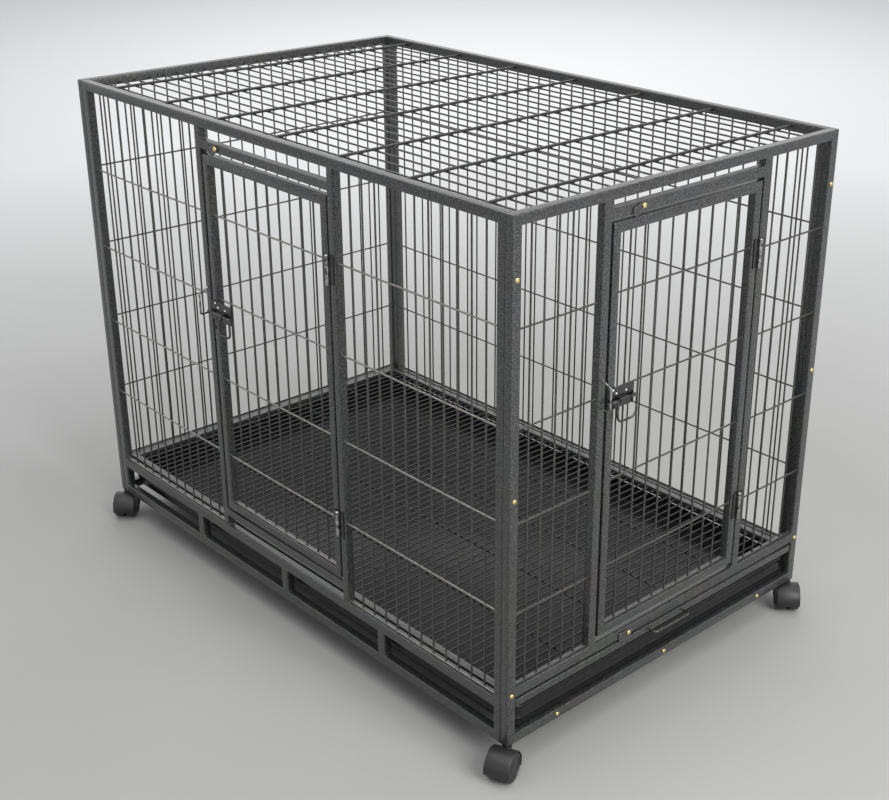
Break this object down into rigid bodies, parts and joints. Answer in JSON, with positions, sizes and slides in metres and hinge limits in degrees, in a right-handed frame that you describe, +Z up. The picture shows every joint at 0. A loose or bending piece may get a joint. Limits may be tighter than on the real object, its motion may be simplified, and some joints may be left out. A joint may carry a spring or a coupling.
{
  "type": "pet cage",
  "caption": "Rolling wire pet cage with hinged side and end doors, slide bolts, turn-buttons, a slide-out floor grate and tray, and hooded twin-wheel castors.",
  "frame": {"origin": "middle of the plan, on the underside of the base frame, where the castor stems enter", "axes": "+X along the length towards the door end, +Y from the side that has a door towards the plain side, +Z up"},
  "size_m": [1.1453, 0.7446, 0.8505],
  "materials": {
    "powder_coat": "charcoal hammertone powder coat",
    "zinc": "bright zinc plate",
    "brass_screw": "yellow zinc",
    "castor_plastic": "black moulded nylon",
    "tray_plastic": "black, satin gloss"
  },
  "bodies": {
    "cage": {"front_side_panel": "powder_coat", "back_side_panel": "powder_coat", "door_end_panel": "powder_coat", "far_end_panel": "powder_coat", "top_grid": "powder_coat", "front_runner": "powder_coat", "back_runner": "powder_coat", "front_tray_bar": "powder_coat", "middle_tray_bar": "powder_coat", "back_tray_bar": "powder_coat", "front_keeper": "zinc", "end_keeper": "zinc", "front_button_screw": "brass_screw", "end_button_screw": "brass_screw", "grate_button_screw": "brass_screw", "front_upper_hinge_frame_leaf": "powder_coat", "front_lower_hinge_frame_leaf": "powder_coat", "end_upper_hinge_frame_leaf": "powder_coat", "end_lower_hinge_frame_leaf": "powder_coat", "front_upper_hinge_pin": "zinc", "front_lower_hinge_pin": "zinc", "end_upper_hinge_pin": "zinc", "end_lower_hinge_pin": "zinc", "near_left_castor_stem": "castor_plastic", "near_right_castor_stem": "castor_plastic", "far_left_castor_stem": "castor_plastic", "far_right_castor_stem": "castor_plastic"},
    "front_door": {"front_door": "powder_coat", "front_latch_plate": "powder_coat", "front_upper_hinge_door_leaf": "powder_coat", "front_lower_hinge_door_leaf": "powder_coat"},
    "front_bolt": {"front_slide_bolt": "zinc"},
    "end_door": {"end_door": "powder_coat", "end_latch_plate": "powder_coat", "end_upper_hinge_door_leaf": "powder_coat", "end_lower_hinge_door_leaf": "powder_coat"},
    "end_bolt": {"end_slide_bolt": "zinc"},
    "front_button": {"front_button": "powder_coat"},
    "end_button": {"end_button": "powder_coat"},
    "grate_button": {"grate_button": "powder_coat"},
    "grate": {"floor_grate": "powder_coat", "grate_handle": "powder_coat"},
    "tray": {"tray": "tray_plastic"},
    "near_left_castor": {"near_left_castor_hood": "castor_plastic", "near_left_castor_axle": "zinc"},
    "near_left_inner_wheel": {"near_left_castor_inner_wheel": "castor_plastic"},
    "near_left_outer_wheel": {"near_left_castor_outer_wheel": "castor_plastic"},
    "near_right_castor": {"near_right_castor_hood": "castor_plastic", "near_right_castor_axle": "zinc"},
    "near_right_inner_wheel": {"near_right_castor_inner_wheel": "castor_plastic"},
    "near_right_outer_wheel": {"near_right_castor_outer_wheel": "castor_plastic"},
    "far_left_castor": {"far_left_castor_hood": "castor_plastic", "far_left_castor_axle": "zinc"},
    "far_left_inner_wheel": {"far_left_castor_inner_wheel": "castor_plastic"},
    "far_left_outer_wheel": {"far_left_castor_outer_wheel": "castor_plastic"},
    "far_right_castor": {"far_right_castor_hood": "castor_plastic", "far_right_castor_axle": "zinc"},
    "far_right_inner_wheel": {"far_right_castor_inner_wheel": "castor_plastic"},
    "far_right_outer_wheel": {"far_right_castor_outer_wheel": "castor_plastic"}
  },
  "joints": [
    {"name": "front_door_hinge", "type": "hinge", "parent": "cage", "child": "front_door", "pos_m": [0.1632, -0.3501, 0.42], "axis": [0, 0, 1], "range_deg": [0, 160]},
    {"name": "end_door_hinge", "type": "hinge", "parent": "cage", "child": "end_door", "pos_m": [0.5511, 0.1632, 0.42], "axis": [0, 0, 1], "range_deg": [0, 160]},
    {"name": "front_bolt_slide", "type": "slide", "parent": "front_door", "child": "front_bolt", "axis": [1, 0, 0], "range_m": [-0.016, 0]},
    {"name": "end_bolt_slide", "type": "slide", "parent": "end_door", "child": "end_bolt", "axis": [0, 1, 0], "range_m": [-0.016, 0]},
    {"name": "front_button_turn", "type": "hinge", "parent": "cage", "child": "front_button", "pos_m": [-0.1169, -0.3465, 0.75775], "axis": [0, 1, 0], "range_deg": [-67, 90]},
    {"name": "end_button_turn", "type": "hinge", "parent": "cage", "child": "end_button", "pos_m": [0.5475, -0.1045, 0.76635], "axis": [-1, 0, 0], "range_deg": [-67, 90]},
    {"name": "grate_button_turn", "type": "hinge", "parent": "cage", "child": "grate_button", "pos_m": [0.5475, -0.0915, 0.085], "axis": [-1, 0, 0], "range_deg": [-82, 60]},
    {"name": "grate_slide", "type": "slide", "parent": "cage", "child": "grate", "axis": [1, 0, 0], "range_m": [0, 1]},
    {"name": "tray_slide", "type": "slide", "parent": "cage", "child": "tray", "axis": [1, 0, 0], "range_m": [0, 1]},
    {"name": "near_left_swivel", "type": "hinge", "parent": "cage", "child": "near_left_castor", "pos_m": [0.54025, -0.33925, -0.0275], "axis": [0, 0, 1], "continuous": true},
    {"name": "near_left_inner_wheel_spin", "type": "hinge", "parent": "near_left_castor", "child": "near_left_inner_wheel", "pos_m": [0.54587, -0.35316, -0.0275], "axis": [0.9272, 0.3746, 0], "continuous": true},
    {"name": "near_left_outer_wheel_spin", "type": "hinge", "parent": "near_left_castor", "child": "near_left_outer_wheel", "pos_m": [0.54587, -0.35316, -0.0275], "axis": [0.9272, 0.3746, 0], "continuous": true},
    {"name": "near_right_swivel", "type": "hinge", "parent": "cage", "child": "near_right_castor", "pos_m": [0.54025, 0.33925, -0.0275], "axis": [0, 0, 1], "continuous": true},
    {"name": "near_right_inner_wheel_spin", "type": "hinge", "parent": "near_right_castor", "child": "near_right_inner_wheel", "pos_m": [0.55086, 0.32864, -0.0275], "axis": [0.7071, 0.7071, 0], "continuous": true},
    {"name": "near_right_outer_wheel_spin", "type": "hinge", "parent": "near_right_castor", "child": "near_right_outer_wheel", "pos_m": [0.55086, 0.32864, -0.0275], "axis": [0.7071, 0.7071, 0], "continuous": true},
    {"name": "far_left_swivel", "type": "hinge", "parent": "cage", "child": "far_left_castor", "pos_m": [-0.54025, -0.33925, -0.0275], "axis": [0, 0, 1], "continuous": true},
    {"name": "far_left_inner_wheel_spin", "type": "hinge", "parent": "far_left_castor", "child": "far_left_inner_wheel", "pos_m": [-0.52964, -0.34986, -0.0275], "axis": [0.7071, 0.7071, 0], "continuous": true},
    {"name": "far_left_outer_wheel_spin", "type": "hinge", "parent": "far_left_castor", "child": "far_left_outer_wheel", "pos_m": [-0.52964, -0.34986, -0.0275], "axis": [0.7071, 0.7071, 0], "continuous": true},
    {"name": "far_right_swivel", "type": "hinge", "parent": "cage", "child": "far_right_castor", "pos_m": [-0.54025, 0.33925, -0.0275], "axis": [0, 0, 1], "continuous": true},
    {"name": "far_right_inner_wheel_spin", "type": "hinge", "parent": "far_right_castor", "child": "far_right_inner_wheel", "pos_m": [-0.53275, 0.32626, -0.0275], "axis": [0.866, 0.5, 0], "continuous": true},
    {"name": "far_right_outer_wheel_spin", "type": "hinge", "parent": "far_right_castor", "child": "far_right_outer_wheel", "pos_m": [-0.53275, 0.32626, -0.0275], "axis": [0.866, 0.5, 0], "continuous": true}
  ]
}
